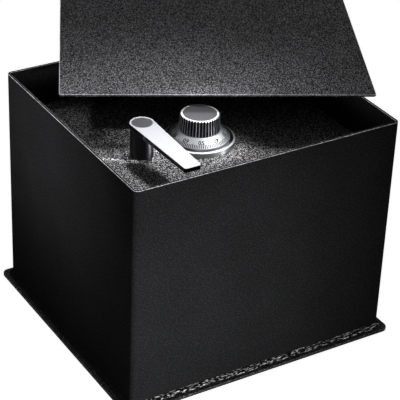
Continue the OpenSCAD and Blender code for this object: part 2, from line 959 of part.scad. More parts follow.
// Flat arm welded to the back of the beam, slotted for its carrier post
module arm_plate(x0, x1, post_x) {
    slot_r = shoulder_d / 2 + slot_clear;
    length = arm_back_y - beam_back_y;
    difference() {
        translate([(x0 + x1) / 2, beam_back_y + length / 2, carrier_bot])
            linear_extrude(carrier_t)
                rounded_rect(x1 - x0, length, arm_plate_r);
        slot_cut(post_x, post_x, post_y, post_y + throw, carrier_bot - past, carrier_top + past, slot_r);
    }
}

// Arm with the cross slot that the crank pin drives
module crank_arm() {
    color("#878b90")
        difference() {
            arm_plate(crank_arm_x - carrier_w / 2, crank_arm_x + carrier_w / 2, crank_arm_x);
            slot_cut(crank_pin_x - crank_swing, crank_pin_x, crank_pin_y, crank_pin_y,
                carrier_bot - past, carrier_top + past, crank_pin_d / 2 + crank_slot_clear);
        }
}

// Arm with a notch for the lock bolt in both of the carrier's end positions
module lock_arm() {
    half = lock_bolt_w / 2 + notch_clear;
    color("#878b90")
        difference() {
            arm_plate(lock_arm_x, lock_arm_x + lock_arm_w, lock_post_x);
            for (y = [lock_y, lock_y + throw])
                bar(lock_arm_x - past, lock_arm_x + notch_deep, y - half, y + half,
                    carrier_bot - past, carrier_top + past);
        }
}

// Round locking bolt with a bevelled tip and a threaded shank
module locking_bolt(i) {
    tip_r = bolt_r - bolt_tip_bevel;
    color("#d9dbde")
        translate([i * bolt_pitch, flange_y, bolt_z])
            rotate([90, 0, 0])
                rotate_extrude()
                    polygon([
                        [0, -carrier_t - nut_t - shank_end],
                        [shank_d / 2, -carrier_t - nut_t - shank_end],
                        [shank_d / 2, 0],
                        [bolt_r, 0],
                        [bolt_r, flange_y - bolt_tip_y - bolt_tip_bevel],
                        [tip_r, flange_y - bolt_tip_y],
                        [0, flange_y - bolt_tip_y]
                    ]);
}

module left_bolt() {
    locking_bolt(-1);
}

module middle_bolt() {
    locking_bolt(0);
}

module right_bolt() {
    locking_bolt(1);
}

module bolt_nuts() {
    color("#9a9da1")
        for (i = [-1:1])
            difference() {
                translate([i * bolt_pitch, flange_back_y + nut_t, bolt_z])
                    rotate([90, 0, 0])
                        cylinder(r = nut_r, h = nut_t, $fn = 6);
                rod_y(i * bolt_pitch, flange_back_y - past, flange_back_y + nut_t + past,
                    bolt_z, shank_d / 2);
            }
}

// Loose cover plate, lying askew on the back and right walls
module cover_plate() {
    color("#3a3a3d")
        translate([cover_right, cover_back, body_h])
            rotate([0, 0, cover_turn])
                linear_extrude(cover_t)
                    rounded_rect(cover_w, cover_d, cover_r);
}

body_shell();
base_plate();
weld_bead();
door_jamb();
wall_hinge_leaves();
hinge_pins();
door_plate();
door_hinge_leaves();
dial_ring();
lever_bush();
hard_plate();
bolt_guide();
guide_screws();
carrier_posts();
dead_bar();
dead_bar_blocks();
dead_bar_screws();
lock_case();
lock_cover();
lock_screws();
dial();
dial_knob();
dial_disc();
spindle();
drive_cam();
wheel_1();
wheel_2();
wheel_3();
lock_bolt();
fence_lever();
lever_arm();
lever_post();
lever_disc();
lever_washer();
lever_shaft();
lever_crank();
crank_screw();
bolt_carrier();
crank_arm();
lock_arm();
left_bolt();
middle_bolt();
right_bolt();
bolt_nuts();
cover_plate();
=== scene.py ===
# %% [markdown]
# # A floor safe with its cover pushed aside
#
# The real object is a folded steel box that is sunk in a concrete floor. A thick plate door
# lies in a recess below the rim, with a combination dial and a lever on it, and a loose cover
# plate lies over the hole. The CAD model gives every plate, shaft and bolt its true size.
# Blender adds what CAD leaves out: the powder coat's grain, edges that catch the light, the
# weld's ripples, the numbers on the dial, and the light of a photo studio.

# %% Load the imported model
import json
import math

import bmesh
import bpy
from mathutils import Matrix, Vector, noise


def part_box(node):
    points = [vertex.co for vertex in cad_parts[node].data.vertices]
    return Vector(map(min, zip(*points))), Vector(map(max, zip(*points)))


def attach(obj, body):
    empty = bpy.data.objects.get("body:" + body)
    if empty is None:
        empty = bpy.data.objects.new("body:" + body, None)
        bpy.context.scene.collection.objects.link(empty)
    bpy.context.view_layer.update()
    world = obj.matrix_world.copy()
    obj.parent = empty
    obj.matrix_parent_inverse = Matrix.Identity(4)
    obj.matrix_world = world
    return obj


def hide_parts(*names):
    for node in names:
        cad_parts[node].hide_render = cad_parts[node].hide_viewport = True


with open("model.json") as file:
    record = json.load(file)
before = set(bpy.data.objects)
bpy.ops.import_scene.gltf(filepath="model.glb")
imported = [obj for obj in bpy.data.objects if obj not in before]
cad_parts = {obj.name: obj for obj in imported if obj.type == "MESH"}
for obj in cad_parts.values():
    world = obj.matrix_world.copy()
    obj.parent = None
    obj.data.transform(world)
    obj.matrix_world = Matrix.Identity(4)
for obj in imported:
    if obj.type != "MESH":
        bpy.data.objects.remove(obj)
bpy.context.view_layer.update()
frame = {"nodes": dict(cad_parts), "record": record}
print("nodes:", len(frame["nodes"]))


# %% [markdown]
# ## Units
#
# The model is in metres, but a safe is drawn in millimetres. The scene could be scaled up to
# fit, but then nothing would lie where the CAD model says. So one helper turns millimetres to
# metres, and each size below can be checked with a rule against the real thing.

# %% Millimetres and places
def mm(value):
    return value / 1000


def centre_of(node):
    low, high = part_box(node)
    return (Vector(low) + Vector(high)) / 2


DIAL = centre_of("dial_ring")
DOOR_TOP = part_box("door_plate")[1][2]
RIM_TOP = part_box("body_shell")[1][2]
print("door face %.1f mm, rim %.1f mm above the floor" % (DOOR_TOP * 1000, RIM_TOP * 1000))


# %% [markdown]
# ## The camera
#
# A product photograph of a box this size is taken from about two metres with a long lens, so
# that its edges stay nearly parallel. The angle was found from the edges of the body: the
# camera stands to the left of the front, looks down by 31 degrees and leans a little. It could
# be turned by hand until it looks right. Its three axes are worked out from the angles
# instead, because then the view is exact and each number has a meaning.

# %% Camera
AZIMUTH, ELEVATION, LEAN = (math.radians(a) for a in (-32.154, 30.724, 2.419))
DISTANCE = 1.9908
FOCAL_PIXELS = 1637.147
FRAME_PIXELS = 400
SENSOR_MM = 36.0
FAR_ENOUGH = 50
# The camera aims this far right of and below a point on the upright axis of the safe.
AIM_RIGHT, AIM_DOWN, AIM_HEIGHT = mm(5.70), mm(19.57), mm(172.13)

back = Vector((
    math.sin(AZIMUTH) * math.cos(ELEVATION),
    -math.cos(AZIMUTH) * math.cos(ELEVATION),
    math.sin(ELEVATION),
))
right = Vector((math.cos(AZIMUTH), math.sin(AZIMUTH), 0))
up = back.cross(right)
aim = right * AIM_RIGHT - up * AIM_DOWN + Vector((0, 0, AIM_HEIGHT))
leaned_right = math.cos(LEAN) * right + math.sin(LEAN) * up
leaned_up = math.cos(LEAN) * up - math.sin(LEAN) * right

camera_data = bpy.data.cameras.new("photo_camera")
camera_data.sensor_width = SENSOR_MM
camera_data.lens = FOCAL_PIXELS * SENSOR_MM / FRAME_PIXELS
camera_data.clip_end = FAR_ENOUGH
camera = bpy.data.objects.new("photo_camera", camera_data)
axes = Matrix((leaned_right, leaned_up, back)).transposed().to_4x4()
camera.matrix_world = Matrix.Translation(aim + back * DISTANCE) @ axes
bpy.context.scene.collection.objects.link(camera)
bpy.context.scene.camera = camera
bpy.context.scene.view_settings.view_transform = "Standard"
print("lens %.1f mm at %.2f m" % (camera_data.lens, DISTANCE))


# %% [markdown]
# ## Small tools for materials
#
# Paint charts and photographs give colours as sRGB hex values, but Blender mixes light in
# linear values. The first tool makes that change. The second adds one node with its settings
# and its links, so a material below reads as a list of what it is made of. The others start an
# empty material, and turn the size of a grain into the scale of a noise.

# %% Colour and node helpers
def hex_colour(code):
    channels = [int(code[i:i + 2], 16) / 255 for i in (1, 3, 5)]
    linear = [c / 12.92 if c <= 0.04045 else ((c + 0.055) / 1.055) ** 2.4 for c in channels]
    return (*linear, 1.0)


def add_node(tree, kind, settings=None, **sockets):
    # A socket is given by its name, or by its place, such as _6, where two share a name.
    node = tree.nodes.new("ShaderNode" + kind)
    for name, value in (settings or {}).items():
        setattr(node, name, value)
    for name, value in sockets.items():
        numbered = name[1:].isdigit()
        socket = node.inputs[int(name[1:])] if numbered else node.inputs[name.replace("_", " ")]
        if isinstance(value, bpy.types.NodeSocket):
            tree.links.new(value, socket)
        else:
            socket.default_value = value
    return node


def new_material(name):
    material = bpy.data.materials.new(name)
    material.use_nodes = True
    material.node_tree.nodes.clear()
    return material, material.node_tree


def noise_scale(size_mm):
    return 1 / mm(size_mm)


print("a bead of 2 mm is noise at scale %.0f" % noise_scale(2.0))


# %% [markdown]
# ## Powder coat
#
# Powder coat is dry plastic powder that is baked on the steel. The fine kind keeps a skin
# like sandpaper, and the pebbled kind shrinks into beads with shiny tops. The beads could be
# left to bump and lamps alone, but the glint on a bead is smaller than a pixel here and would
# be lost. So light and shade are painted into each coat in three colours: painted shade in the
# hollow between the beads, painted light on the bead's top, and a painted highlight for its
# glint. One noise drives all three, and the bump and the roughness too. A slow second noise
# makes the coat a little lighter and darker from place to place, as a sprayed coat is.
#
# The real grains are about 0.3 mm on the walls and 0.6 mm on the door. Both are drawn coarser
# here, at 1.0 to 2.0 mm, because the photograph has one pixel for each 1.2 mm. The gloss is
# kept low, because this bright room would show in it as a grey veil.

# %% Powder coat
# A noise has its middle at 0.5, and is seldom below 0.3 or above 0.7.
MIDDLE, USUAL_LOW, USUAL_HIGH = 0.5, 0.3, 0.7
GLINT_FROM, GLINT_FULL = 0.56, 0.68
CLOUD_MM, CLOUD_DARK, CLOUD_LIGHT = 60, 0.92, 1.08


def powder_coat(name, colours, bead_mm, height_mm, roughness, gloss, soft, run=(1, 1, 1)):
    # soft is how far the bead's edge runs out on each side of the middle of the noise. A run
    # below 1 draws the beads out along that axis.
    # The hollow's colour is painted shade, the top's is painted light, and the glint's is a
    # painted highlight.
    hollow, top, glint = (hex_colour(c) for c in colours)
    dull, shiny = roughness
    material, tree = new_material(name)
    place = add_node(tree, "TexCoord").outputs["Object"]
    drawn_out = add_node(tree, "Mapping", Vector=place, Scale=run).outputs["Vector"]
    beads = add_node(tree, "TexNoise", Vector=drawn_out, Scale=noise_scale(bead_mm), Detail=1.0)
    beads = beads.outputs["Fac"]
    clouds = add_node(tree, "TexNoise", Vector=place, Scale=noise_scale(CLOUD_MM), Detail=2.0)
    bump = add_node(tree, "Bump", Strength=1.0, Distance=mm(height_mm), Height=beads)
    bead = add_node(tree, "MapRange", Value=beads, From_Min=MIDDLE - soft, From_Max=MIDDLE + soft)
    peak = add_node(tree, "MapRange", Value=beads, From_Min=GLINT_FROM, From_Max=GLINT_FULL)
    tone = add_node(tree, "MapRange", Value=clouds.outputs["Fac"], From_Min=USUAL_LOW,
                    From_Max=USUAL_HIGH, To_Min=CLOUD_DARK, To_Max=CLOUD_LIGHT)
    colour = add_node(tree, "Mix", {"data_type": "RGBA"}, Factor=bead.outputs["Result"],
                      _6=hollow, _7=top)
    colour = add_node(tree, "Mix", {"data_type": "RGBA"}, Factor=peak.outputs["Result"],
                      _6=colour.outputs[2], _7=glint)
    colour = add_node(tree, "Mix", {"data_type": "RGBA", "blend_type": "MULTIPLY"}, Factor=1.0,
                      _6=colour.outputs[2], _7=tone.outputs["Result"])
    shine = add_node(tree, "MapRange", Value=bead.outputs["Result"], To_Min=dull, To_Max=shiny)
    shader = add_node(tree, "BsdfPrincipled", Base_Color=colour.outputs[2],
                      Roughness=shine.outputs["Result"], Specular_IOR_Level=gloss,
                      Normal=bump.outputs["Normal"])
    add_node(tree, "OutputMaterial", Surface=shader.outputs["BSDF"])
    return material


print("a glint starts at %.2f of the noise" % GLINT_FROM)

# %% Fine coats on the walls and the base
# Sprayed fine on the walls: an even soft black, with hardly any painted glint.
shell_paint = powder_coat("fine_black_powder_coat", ("#212122", "#29292a", "#343436"),
                          bead_mm=1.7, height_mm=0.2, roughness=(0.6, 0.5), gloss=0.0, soft=0.1)
# The same coat inside, darker: painted shade for the recess.
inner_paint = powder_coat("fine_black_powder_coat_inside_painted_shade", ("#0c0c0d", "#1d1d1f", "#2a2a2c"),
                          bead_mm=1.6, height_mm=0.2, roughness=(0.6, 0.5), gloss=0.02, soft=0.1)
# The same coat on the base plate, painted lighter: painted light on the level foot.
base_paint = powder_coat("fine_black_powder_coat_on_base", ("#29292a", "#3c3c3e", "#727275"),
                         bead_mm=1.7, height_mm=0.2, roughness=(0.6, 0.5), gloss=0.02, soft=0.1)
print("fine coats:", len(bpy.data.materials))

# %% Pebbled coats on the door and the cover
# Pebbled coat on the door: painted shade in black hollows, painted light on bright bead tops
# and white painted glints, so that it looks like grit.
door_paint = powder_coat("pebbled_black_powder_coat", ("#000000", "#6a6a6d", "#ffffff"),
                         bead_mm=1.0, height_mm=1.0, roughness=(0.8, 0.35), gloss=0.01, soft=0.1)
# Pebbled coat on the thin cover: the same, with less contrast between hollow and bead.
cover_paint = powder_coat("pebbled_black_powder_coat_on_cover", ("#000001", "#626265", "#f4f4f8"),
                          bead_mm=1.1, height_mm=0.6, roughness=(0.8, 0.4), gloss=0.01, soft=0.1)
print("with the pebbled coats:", len(bpy.data.materials))

# %% Coats on the edges and the weld
# Along the rim and the cover's edge the coat is painted nearly white: a painted highlight, a
# bright line, a little broken.
edge_highlight_paint = powder_coat("powder_coat_with_painted_highlight_on_edges", ("#98989c", "#e8e8ec", "#ffffff"),
                         bead_mm=2.0, height_mm=0.5, roughness=(0.5, 0.3), gloss=0.4, soft=0.1)
# On the foot's edge a dimmer painted highlight: a grey line.
foot_edge_highlight_paint = powder_coat("powder_coat_with_dim_painted_highlight_on_foot_edges", ("#242427", "#6c6c70", "#b0b0b4"),
                              bead_mm=2.0, height_mm=1.0, roughness=(0.6, 0.4), gloss=0.03,
                              soft=0.1)
# Over the weld's ripples in front the coat is black, with painted glints drawn out along them.
weld_paint = powder_coat("powder_coat_over_weld", ("#0a0a0b", "#2e2e30", "#ffffff"),
                         bead_mm=1.1, height_mm=0.5, roughness=(0.6, 0.4), gloss=0.03, soft=0.05,
                         run=(0.2, 1, 1))
print("powder coats:", len(bpy.data.materials))


# %% [markdown]
# ## Metals and other smooth finishes
#
# A metal's colour is its reflection, so each one here is mostly a colour and a roughness. Its
# grain could be painted in lighter and darker tones, but plated metal has one colour, and only
# its slope and its gloss change. So a fine noise is the grain, as bump, and a slow one makes
# the gloss uneven, as hands and tools leave it. Satin chrome is blasted before it is plated,
# so it spreads the lamps. A turned surface has fine grooves round it that spread a highlight
# up and down into one upright streak. The shader's anisotropy does that, with its tangent
# along the axis, because grooves that fine would need far too much mesh.
#
# The grain of all of these is finer than 0.1 mm, and is drawn at 0.5 to 1 mm to show at all.

# %% Smooth finishes
SMEAR_MM = 15
# Draws the grain out level, round the piece, as a turning tool leaves it.
TURNED = (0.05, 0.05, 1)


def smooth_finish(name, colour, roughness, grain_mm, height_mm, wear=0.04, metal=1.0, gloss=0.5,
                  lines=(1, 1, 1), streak=0.0):
    # wear is how much the smears change the roughness. Lines below 1 draw the grain out along
    # that axis, and streak is how far a highlight is drawn out along the upright axis.
    material, tree = new_material(name)
    place = add_node(tree, "TexCoord").outputs["Object"]
    stretched = add_node(tree, "Mapping", Vector=place, Scale=lines).outputs["Vector"]
    grain = add_node(tree, "TexNoise", Vector=stretched, Scale=noise_scale(grain_mm), Detail=3.0)
    smears = add_node(tree, "TexNoise", Vector=place, Scale=noise_scale(SMEAR_MM), Detail=3.0)
    bump = add_node(tree, "Bump", Strength=1.0, Distance=mm(height_mm),
                    Height=grain.outputs["Fac"])
    rough = add_node(tree, "MapRange", Value=smears.outputs["Fac"], From_Min=USUAL_LOW,
                     From_Max=USUAL_HIGH, To_Min=roughness - wear, To_Max=roughness + wear)
    shader = add_node(tree, "BsdfPrincipled", Base_Color=hex_colour(colour), Metallic=metal,
                      Roughness=rough.outputs["Result"], Specular_IOR_Level=gloss,
                      Normal=bump.outputs["Normal"], Anisotropic=streak)
    if streak:
        axis = add_node(tree, "CombineXYZ", Z=1.0)
        tree.links.new(axis.outputs["Vector"], shader.inputs["Tangent"])
    add_node(tree, "OutputMaterial", Surface=shader.outputs["BSDF"])
    return material


print("smears are %d mm wide" % SMEAR_MM)

# %% Chrome of the dial and the lever
# Satin chrome, blasted and plated: a wide soft highlight on the dial and the lever.
satin_chrome = smooth_finish("satin_chrome_plate", "#9c9da1", roughness=0.5, grain_mm=0.6,
                             height_mm=0.002)
lever_chrome = smooth_finish("satin_chrome_on_lever", "#909195", roughness=0.48, grain_mm=0.6,
                             height_mm=0.002)
# Bright chrome on the fixed ring: a nearly clear reflection.
ring_chrome = smooth_finish("bright_chrome_ring", "#e6e7ea", roughness=0.22, grain_mm=0.6,
                            height_mm=0.002)
# The ring's bevel and the knob's rim are blasted chrome, set as part metal: the grain scatters
# light somewhat as a matt surface does, and the near-white matt part is a painted highlight, so
# they stay light from every side.
bevel_chrome_painted_highlight = smooth_finish("blasted_chrome_bevel_painted_highlight", "#b8b9bd", roughness=0.5, grain_mm=0.6,
                             height_mm=0.002, metal=0.7)
rim_chrome_painted_highlight = smooth_finish("blasted_chrome_rim_painted_highlight", "#f0f1f4", roughness=0.5, grain_mm=0.6,
                           height_mm=0.002, metal=0.4)
print("finishes so far:", len(bpy.data.materials))

# %% Turned and polished sides
# Turned chrome: one upright streak on a dark side. The post's colour is painted dark: a painted
# reflection of the dark coat round it.
ring_side_chrome = smooth_finish("turned_chrome_ring_side", "#8c8d91", roughness=0.36,
                                 grain_mm=0.7, height_mm=0.004, wear=0.03, lines=TURNED,
                                 streak=0.9)
post_chrome_painted_dark = smooth_finish("turned_chrome_post_painted_dark", "#333336", roughness=0.35, grain_mm=0.7,
                            height_mm=0.004, wear=0.03, lines=TURNED, streak=0.9)
# Polished lands between the knob's flutes: each catches the streak as one light bar.
land_chrome = smooth_finish("polished_chrome_lands", "#8c8d91", roughness=0.38, grain_mm=0.7,
                            height_mm=0.01, streak=0.9)
# In the flutes, and on the arm's milled sides, the chrome is painted dark: a painted reflection
# of the black coat below it.
knob_chrome = smooth_finish("chrome_painted_dark_in_flutes", "#3c3c3f", roughness=0.25, grain_mm=0.7,
                            height_mm=0.01)
print("finishes so far:", len(bpy.data.materials))

# %% Greys of the discs and the groove
# The dyed layer on an anodised disc hides its metal: an even grey with little gloss.
disc_grey = smooth_finish("grey_anodised_disc", "#5b5b5f", roughness=0.5, grain_mm=0.5,
                          height_mm=0.004, metal=0.0, gloss=0.1)
arm_disc_grey = smooth_finish("grey_anodised_disc_on_arm", "#545457", roughness=0.5, grain_mm=0.5,
                              height_mm=0.004, metal=0.0, gloss=0.1)
# The ring's groove is a darker grey than its chrome, with a little metal in it.
groove_grey = smooth_finish("darker_grey_in_groove", "#5a5a5e", roughness=0.5, grain_mm=0.6,
                            height_mm=0.01, metal=0.2)
print("finishes so far:", len(bpy.data.materials))

# %% Finishes of the bolt work and the lock
# Hard chrome on ground bolts: nearly a mirror, so a bolt shows as dark and bright bands.
bolt_chrome = smooth_finish("chromed_bolt_steel", "#cfd0d4", roughness=0.14, grain_mm=0.8,
                            height_mm=0.001)
# Zinc plate on rolled steel: a cold grey with an uneven shine, and brighter on small screws.
zinc_steel = smooth_finish("zinc_plated_steel", "#a9adb3", roughness=0.38, grain_mm=0.8,
                           height_mm=0.006, wear=0.08)
screw_steel = smooth_finish("zinc_plated_screws", "#b4b7bc", roughness=0.30, grain_mm=0.6,
                            height_mm=0.003)
# Bare steel, hardened and quenched: dark, with a dull shine.
hard_steel = smooth_finish("hardened_steel", "#63666c", roughness=0.35, grain_mm=1.0,
                           height_mm=0.006, wear=0.06)
# Zinc cast in a die: a soft grey with the flow of the metal in it.
cast_zinc = smooth_finish("die_cast_zinc", "#9b9da1", roughness=0.48, grain_mm=0.9,
                          height_mm=0.02, wear=0.06)
# Turned brass of the lock's wheels: the one warm colour of the safe.
brass = smooth_finish("turned_brass", "#c6a255", roughness=0.28, grain_mm=0.7, height_mm=0.003)
# Moulded nylon of the lever's washer: a matt black.
nylon = smooth_finish("moulded_black_nylon", "#0c0c0d", roughness=0.55, grain_mm=0.5,
                      height_mm=0.01, metal=0.0)
# Enamel wiped into the dial's marks: matt too, so that a number reads black in any light.
enamel = smooth_finish("black_enamel_in_marks", "#0c0c0e", roughness=0.8, grain_mm=0.5,
                       height_mm=0.01, metal=0.0, gloss=0.1)
print("finishes:", len(bpy.data.materials))


# %% [markdown]
# ## Every CAD piece gets its finish
# The record says which finish each piece has. The 45 pieces could be painted one by one. A
# table from the record's slots to the materials above does it in one go, so that none is left
# grey. Two pieces then get a finish of their own, because the photograph shows them darker:
# the post's chrome is painted dark, as a painted reflection of the dark coat round it.

# %% Paint the CAD pieces
FINISHES = {
    "shell_paint": shell_paint, "inner_paint": inner_paint, "door_paint": door_paint,
    "cover_paint": cover_paint, "weld_metal": weld_paint, "satin_chrome": satin_chrome,
    "knob_chrome": knob_chrome, "lever_chrome": lever_chrome, "bolt_chrome": bolt_chrome,
    "brushed_disc": disc_grey, "zinc_steel": zinc_steel, "screw_steel": screw_steel,
    "hardened_steel": hard_steel, "cast_zinc": cast_zinc, "brass": brass, "black_nylon": nylon,
}
SLOT_OF = {part["node"]: part["material_slot"] for part in frame["record"]["subparts"]}


def paint(piece, material):
    piece.data.materials.clear()
    piece.data.materials.append(material)


for node_name, node_object in frame["nodes"].items():
    paint(node_object, FINISHES[SLOT_OF[node_name]])
paint(frame["nodes"]["lever_disc"], arm_disc_grey)
paint(frame["nodes"]["lever_post"], post_chrome_painted_dark)
print("painted", len(frame["nodes"]), "pieces")


# %% [markdown]
# ## Soft edges
#
# No sheared or machined plate has a perfectly sharp edge: the paint or the plating rounds
# it by a few tenths of a millimetre, and that round, with a highlight painted on it, draws a
# bright line along the rim.
# A Bevel modifier on the CAD piece could do this, but that mesh is loose triangles, and none
# of its edges joins two of them. So a copy is merged, its flat faces are joined again, and a
# bevel is cut along the edges that turn sharply. A weighted normal keeps the flat faces flat,
# so that the shading bends only on the rounds.

# %% Copies with soft edges
MERGE = mm(0.005)
FLAT = math.radians(0.5)


def smooth_by_angle(mesh, degrees=35):
    for face in mesh.polygons:
        face.use_smooth = True
    mesh.set_sharp_from_angle(angle=math.radians(degrees))


def new_piece(name, work, body, material, instead_of=()):
    mesh = bpy.data.meshes.new(name)
    work.to_mesh(mesh)
    work.free()
    smooth_by_angle(mesh)
    piece = bpy.data.objects.new(name, mesh)
    bpy.context.scene.collection.objects.link(piece)
    paint(piece, material)
    if instead_of:
        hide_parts(*instead_of)
    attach(piece, body)
    return piece


def clean_copy(node_name):
    work = bmesh.new()
    work.from_mesh(frame["nodes"][node_name].data)
    bmesh.ops.remove_doubles(work, verts=work.verts, dist=MERGE)
    bmesh.ops.dissolve_limit(work, angle_limit=FLAT, verts=work.verts, edges=work.edges)
    return work


def soft_copy(node_name, radius_mm, body, turn=30):
    # An edge is rounded where its two faces turn by more than this many degrees.
    work = clean_copy(node_name)
    sharp = [e for e in work.edges if e.is_manifold and e.calc_face_angle(0) > math.radians(turn)]
    bmesh.ops.bevel(work, geom=sharp, offset=mm(radius_mm), offset_type="OFFSET", affect="EDGES",
                    segments=2, profile=0.5, material=-1, clamp_overlap=True)
    slot = SLOT_OF[node_name]
    piece = new_piece(node_name + "_edged", work, body, FINISHES[slot], (node_name,))
    weighted = piece.modifiers.new("flat_faces_stay_flat", "WEIGHTED_NORMAL")
    weighted.keep_sharp = True
    weighted.weight = 100
    return piece


print("faces within %.1f degrees of each other are joined" % math.degrees(FLAT))

# %% The pieces whose edges show
rim = soft_copy("body_shell", 0.5, "safe")
base = soft_copy("base_plate", 0.6, "safe")
cover = soft_copy("cover_plate", 0.7, "cover_group")
door = soft_copy("door_plate", 0.8, "door")
ring = soft_copy("dial_ring", 0.15, "door", turn=12)
arm = soft_copy("lever_arm", 0.45, "lever_group")
knob = soft_copy("dial_knob", 0.2, "dial_group", turn=40)
print("the edged body has", len(rim.data.polygons), "faces")


# %% [markdown]
# ## Finishes that change within a piece
#
# One piece often has more than one finish, and some of them are painted highlights and painted
# reflections. The coat along the rim has a painted highlight, the knob's lands are polished while
# its flutes are painted dark as a painted reflection, and the ring has a darker grey groove, a
# blasted bevel with a painted highlight and a turned side. The piece could be cut up, one part
# for each finish, but then it would no longer be one mesh with closed edges. So each face is
# chosen by where it is and which way it points, and gets a material slot of its own.

# %% Faces with a finish of their own
def paint_where(piece, material, chosen):
    piece.data.materials.append(material)
    slot = len(piece.data.materials) - 1
    faces = [face for face in piece.data.polygons if chosen(face)]
    for face in faces:
        face.material_index = slot
    print(piece.name, "has", len(faces), "faces in", material.name)


def from_axis(face):
    return math.hypot(face.center.x - DIAL.x, face.center.y - DIAL.y)


print("the dial stands at %.0f, %.0f mm" % (DIAL.x * 1000, DIAL.y * 1000))

# %% Painted highlights on the edges
# How far up a face looks: 1 is level, 0 is upright.
LEVEL, STEEP, UPRIGHT = 0.95, 0.5, 0.3
RIM_ROUND = mm(0.6)
paint(base, base_paint)
paint_where(rim, edge_highlight_paint, lambda f: f.center.z > RIM_TOP - RIM_ROUND and f.normal.z < LEVEL)
paint_where(base, foot_edge_highlight_paint, lambda f: UPRIGHT < f.normal.z < LEVEL)
paint_where(cover, edge_highlight_paint, lambda f: UPRIGHT < f.normal.z < LEVEL)

# %% Sides of the cover and the arm
# Hardly any beads form on a sheared edge, so the cover's sides are as even as the walls.
paint_where(cover, shell_paint, lambda f: abs(f.normal.z) <= UPRIGHT)
# The arm's milled sides get the dark chrome: a painted reflection of the black coat below.
paint_where(arm, knob_chrome, lambda f: abs(f.normal.z) < UPRIGHT)

# %% Knob: polished lands between flutes painted dark, and a rim with a painted highlight
knob_low, knob_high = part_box("dial_knob")
KNOB_FOOT_R, KNOB_TOP_R = mm(25), mm(23.4)
KNOB_RIM_H, LAND_DEPTH = mm(1.1), mm(0.25)


def on_land(face):
    share = (face.center.z - knob_low[2]) / (knob_high[2] - knob_low[2])
    land = KNOB_FOOT_R + (KNOB_TOP_R - KNOB_FOOT_R) * share
    return from_axis(face) > land - LAND_DEPTH


def on_knob_rim(face):
    return face.center.z > knob_high[2] - KNOB_RIM_H and face.normal.z > UPRIGHT


paint_where(knob, land_chrome, on_land)
paint_where(knob, rim_chrome_painted_highlight, on_knob_rim)

# %% Ring: darker grey groove, bevel with a painted highlight, and turned side
GROOVE_IN_R, BEVEL_IN_R = mm(36), mm(40.7)
paint(ring, ring_chrome)
paint_where(ring, groove_grey, lambda f: GROOVE_IN_R < from_axis(f) < BEVEL_IN_R)
paint_where(ring, bevel_chrome_painted_highlight, lambda f: from_axis(f) > BEVEL_IN_R and f.normal.z > STEEP)
paint_where(ring, ring_side_chrome, lambda f: from_axis(f) > BEVEL_IN_R and f.normal.z <= STEEP)


# %% [markdown]
# ## The weld bead
#
# The body stands on its base in a fillet weld, laid as one overlapping ripple after another
# and painted over. Its section is a quarter round. A bump in the coat could draw the ripples,
# but the bead would still have a smooth outline, and the ripples would not be in the mesh. So
# the CAD bead is cut across every 1.6 mm and in layers of 0.9 mm, and each point is pushed in
# by noise and by the ripples, and the gloss breaks up into the bright crinkles that the
# photograph shows, with painted glints in the coat. Points are only pushed in, so the bead
# stays inside its CAD solid. In front the coat has painted glints. On the other sides it has
# the wall's coat without them: painted shade, as dull as the wall, as the photograph shows on
# the left.

# %% Weld bead: cut it along its length
CUTS = ((0, mm(1.6)), (1, mm(1.6)), (2, mm(0.9)))  # axis, and how far apart
ON_PLANE = mm(0.001)

bead_work = clean_copy("weld_bead")
bead_low, bead_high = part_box("weld_bead")
for axis, step in CUTS:
    place = bead_low[axis] + step
    while place < bead_high[axis]:
        point, normal = Vector((0, 0, 0)), Vector((0, 0, 0))
        point[axis], normal[axis] = place, 1
        geometry = bead_work.verts[:] + bead_work.edges[:] + bead_work.faces[:]
        bmesh.ops.bisect_plane(bead_work, geom=geometry, plane_co=point, plane_no=normal,
                               dist=ON_PLANE)
        place += step
print("bead has", len(bead_work.verts), "points")

# %% Weld bead: push its points in
# Points deeper than the core, and those next to the wall and the base, stay where they are.
CORE, EDGE_KEPT = mm(3.5), mm(0.1)
# A ripple is 3.2 mm long. The drift bends it, and the grit makes each one a little different.
RIPPLE, DRIFT = mm(3.2), 3
DRIFT_SCALE, GRIT_SCALE = 60, 450
PUSH_ALL, PUSH_RIPPLE, PUSH_GRIT = mm(0.25), mm(0.5), mm(0.55)

shell_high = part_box("body_shell")[1]
for vert in bead_work.verts:
    out_x = max(abs(vert.co.x) - shell_high[0], 0)
    out_y = max(abs(vert.co.y) - shell_high[1], 0)
    away = Vector((
        math.copysign(out_x, vert.co.x),
        math.copysign(out_y, vert.co.y),
        vert.co.z - bead_low[2],
    ))
    if away.length < CORE or out_x + out_y < EDGE_KEPT or away.z < EDGE_KEPT:
        continue
    along = vert.co.x if out_y > out_x else vert.co.y
    drift = DRIFT * noise.noise(vert.co * DRIFT_SCALE)
    ripple = (1 + math.sin(along / RIPPLE * 2 * math.pi + drift)) / 2
    grit = noise.noise(vert.co * GRIT_SCALE)
    push = PUSH_ALL + PUSH_RIPPLE * ripple * abs(grit) + PUSH_GRIT * max(grit, 0)
    vert.co -= away.normalized() * push
bead = new_piece("weld_bead_rough", bead_work, "safe", weld_paint, ("weld_bead",))
# Off the front the bead gets the wall's coat, without painted glints: painted shade on the sides
# away from the lamps.
paint_where(bead, shell_paint, lambda f: f.center.y > -shell_high[1])


# %% [markdown]
# ## The dial's numbers and lines
#
# A combination dial has 100 divisions, a longer line at every five and a number at every ten.
# They are cut in and filled flush with black enamel. They could be cut into the mesh as well,
# but flush enamel has no depth to show, so thin black shapes that lie a hair above the cone do
# as well. The numbers stand with their tops outward and count up clockwise. Each one is set in
# type, made a mesh, and bent round the cone: its height runs up the slope and its width runs
# round the axis. The real lines are 0.3 mm wide and are drawn 1 mm wide, which is just under
# one pixel of the photograph.

